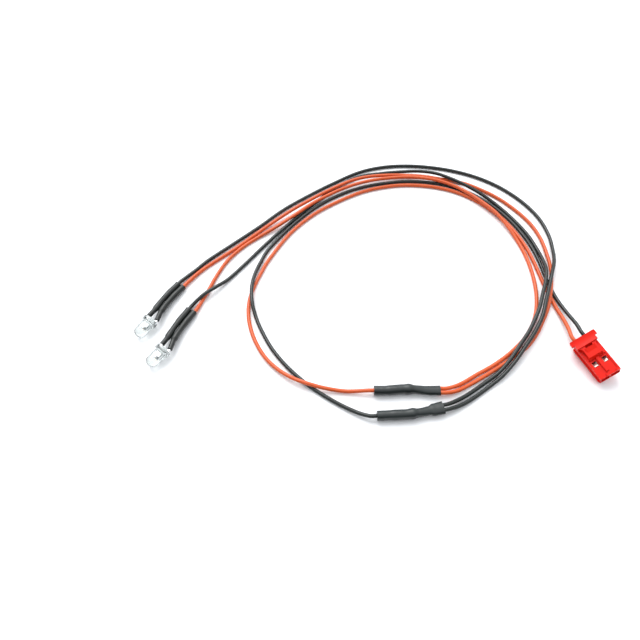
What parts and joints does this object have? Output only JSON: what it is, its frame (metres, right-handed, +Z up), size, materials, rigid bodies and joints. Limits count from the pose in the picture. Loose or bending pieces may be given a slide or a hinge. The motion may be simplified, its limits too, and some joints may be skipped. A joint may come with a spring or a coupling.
{
  "type": "pre-wired pair of 3 mm through hole lamps",
  "caption": "Pair of clear 3 mm through hole lamps on thin black and red wires, spliced under shrunk sleeves and joined to a small latching plug.",
  "frame": {"origin": "on the surface the object lies on, at the middle of the box round the two lamps with their leg sleeves", "axes": "+Z up from the surface, +Y across it away from the viewer of the picture, +X to that viewer's right, towards the plug"},
  "size_m": [0.1144, 0.0832, 0.0066],
  "materials": {
    "clear_epoxy": "clear, polished",
    "tinned_steel": "tinned, stamped",
    "chip": "diced crystal",
    "gold": "drawn wire",
    "leg_tube": "satin, shrunk",
    "splice_tube": "satin, shrunk",
    "solder": "solder",
    "black_insulation": "smooth",
    "red_insulation": "smooth",
    "red_nylon": "moulded, satin",
    "tinned_bronze": "tinned, stamped"
  },
  "bodies": {
    "root": {"far_lamp_lens": "clear_epoxy", "far_lamp_cathode": "tinned_steel", "far_lamp_anode": "tinned_steel", "far_lamp_chip": "chip", "far_lamp_bond_wire": "gold", "far_lamp_cathode_sleeve": "leg_tube", "far_lamp_anode_sleeve": "leg_tube", "far_lamp_cathode_joint": "solder", "far_lamp_anode_joint": "solder", "near_lamp_lens": "clear_epoxy", "near_lamp_cathode": "tinned_steel", "near_lamp_anode": "tinned_steel", "near_lamp_chip": "chip", "near_lamp_bond_wire": "gold", "near_lamp_cathode_sleeve": "leg_tube", "near_lamp_anode_sleeve": "leg_tube", "near_lamp_cathode_joint": "solder", "near_lamp_anode_joint": "solder", "red_splice_sleeve": "splice_tube", "red_splice_joint": "solder", "black_splice_sleeve": "splice_tube", "black_splice_joint": "solder", "plug_housing": "red_nylon", "black_terminal": "tinned_bronze", "red_terminal": "tinned_bronze", "far_lamp_black_wire": "black_insulation", "far_lamp_red_wire": "red_insulation", "near_lamp_black_wire": "black_insulation", "near_lamp_red_wire": "red_insulation", "plug_black_wire": "black_insulation", "plug_red_wire": "red_insulation"}
  },
  "joints": []
}
